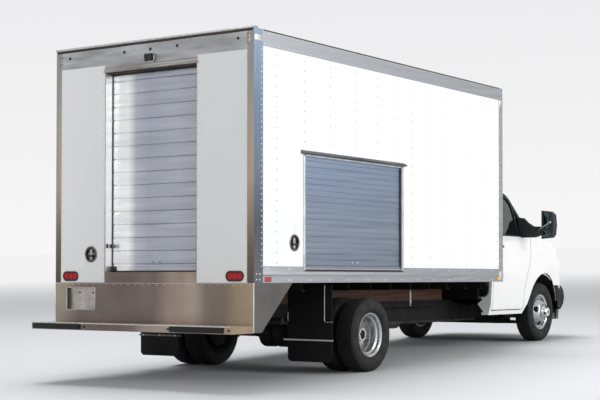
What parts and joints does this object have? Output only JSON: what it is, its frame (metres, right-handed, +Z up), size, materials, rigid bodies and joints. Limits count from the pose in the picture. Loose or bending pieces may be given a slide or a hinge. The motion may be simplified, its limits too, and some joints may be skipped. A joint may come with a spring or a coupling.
{
  "type": "box truck",
  "caption": "Cutaway-cab box truck with dual rear wheels, slatted rear door, side roll-up door, deep rear step and mud flaps.",
  "frame": {"origin": "on the ground, at the middle of the overall length and width", "axes": "+X forward, +Y to the left side, +Z up; the truck stands 1.77 degrees nose-down, as it parks unladen"},
  "size_m": [7.7394, 2.918, 3.26],
  "materials": {
    "white_paint": "gloss",
    "white_panel": "satin",
    "rail_aluminium": "satin",
    "door_aluminium": "satin",
    "polished_aluminium": "polished",
    "frame_black": "satin",
    "axle_iron": "matte",
    "exhaust_steel": "matte",
    "bright_steel": "satin",
    "timber": "matte",
    "black_rubber": "matte",
    "tyre": "matte",
    "wheel_paint": "satin",
    "glass": "gloss",
    "black_plastic": "matte",
    "grey_plastic": "matte",
    "lamp_red": "gloss",
    "lamp_clear": "gloss",
    "seat_cloth": "matte"
  },
  "bodies": {
    "truck_body": {"chassis_frame": "frame_black", "wood_sills": "timber", "box_floor": "timber", "box_rails": "rail_aluminium", "side_wall_left": "white_panel", "side_wall_right": "white_panel", "front_wall": "white_panel", "roof": "white_panel", "rear_frame": "rail_aluminium", "rear_panels": "white_panel", "rear_roller_door": "door_aluminium", "side_door_frame": "rail_aluminium", "side_roller_door": "door_aluminium", "latch_dishes": "bright_steel", "marker_lamps": "lamp_red", "tail_lamps": "lamp_red", "rear_apron": "polished_aluminium", "step_bumper": "rail_aluminium", "bumper_pads": "black_rubber", "mud_flaps": "black_rubber", "flap_hangers": "bright_steel", "rear_axle": "axle_iron", "leaf_springs": "axle_iron", "engine": "axle_iron", "fuel_tank": "frame_black", "exhaust": "exhaust_steel", "front_suspension": "axle_iron", "cab_shell": "white_paint", "windscreen": "glass", "fenders": "white_paint", "grille": "black_plastic", "headlamps": "lamp_clear", "front_bumper": "black_plastic", "seats": "seat_cloth", "dashboard": "grey_plastic"},
    "steering_wheel": {"steering_wheel": "black_plastic"},
    "hood": {"hood": "white_paint"},
    "door_left": {"door_left": "white_paint", "door_glass_left": "glass", "mirror_left": "black_plastic"},
    "knuckle_left": {"knuckle_left": "axle_iron"},
    "front_wheel_left": {"tyre_front_left": "tyre", "rim_front_left": "wheel_paint"},
    "rear_wheels_left": {"tyres_rear_left": "tyre", "rims_rear_left": "wheel_paint"},
    "door_right": {"door_right": "white_paint", "door_glass_right": "glass", "mirror_right": "black_plastic"},
    "knuckle_right": {"knuckle_right": "axle_iron"},
    "front_wheel_right": {"tyre_front_right": "tyre", "rim_front_right": "wheel_paint"},
    "rear_wheels_right": {"tyres_rear_right": "tyre", "rims_rear_right": "wheel_paint"}
  },
  "joints": [
    {"name": "steer_left", "type": "hinge", "parent": "truck_body", "child": "knuckle_left", "pos_m": [2.96847, 0.8, 0.372], "axis": [0.0309, 0, 0.9995], "range_deg": [-32, 32]},
    {"name": "spin_front_left", "type": "hinge", "parent": "knuckle_left", "child": "front_wheel_left", "pos_m": [2.96847, 0.8785, 0.372], "axis": [0, 1, 0], "continuous": true},
    {"name": "spin_rear_left", "type": "hinge", "parent": "truck_body", "child": "rear_wheels_left", "pos_m": [-1.52753, 0.9735, 0.372], "axis": [0, 1, 0], "continuous": true},
    {"name": "door_left_hinge", "type": "hinge", "parent": "truck_body", "child": "door_left", "pos_m": [2.65295, 1.003, 1.11623], "axis": [-0.0309, 0, -0.9995], "range_deg": [0, 65]},
    {"name": "steer_right", "type": "hinge", "parent": "truck_body", "child": "knuckle_right", "pos_m": [2.96847, -0.8, 0.372], "axis": [0.0309, 0, 0.9995], "range_deg": [-32, 32]},
    {"name": "spin_front_right", "type": "hinge", "parent": "knuckle_right", "child": "front_wheel_right", "pos_m": [2.96847, -0.8785, 0.372], "axis": [0, 1, 0], "continuous": true},
    {"name": "spin_rear_right", "type": "hinge", "parent": "truck_body", "child": "rear_wheels_right", "pos_m": [-1.52753, -0.9735, 0.372], "axis": [0, 1, 0], "continuous": true},
    {"name": "door_right_hinge", "type": "hinge", "parent": "truck_body", "child": "door_right", "pos_m": [2.65295, -1.003, 1.11623], "axis": [0.0309, 0, 0.9995], "range_deg": [0, 65]},
    {"name": "hood_hinge", "type": "hinge", "parent": "truck_body", "child": "hood", "pos_m": [2.84376, 0, 1.31743], "axis": [0, -1, 0], "range_deg": [0, 50]},
    {"name": "steering_turn", "type": "hinge", "parent": "truck_body", "child": "steering_wheel", "pos_m": [2.29025, 0.43, 1.21248], "axis": [-0.868, 0, 0.4965], "range_deg": [-512, 512]}
  ],
  "couplings": [
    {"joint": "steer_right", "follows": "steer_left", "ratio": 1},
    {"joint": "steering_turn", "follows": "steer_left", "ratio": 16}
  ]
}
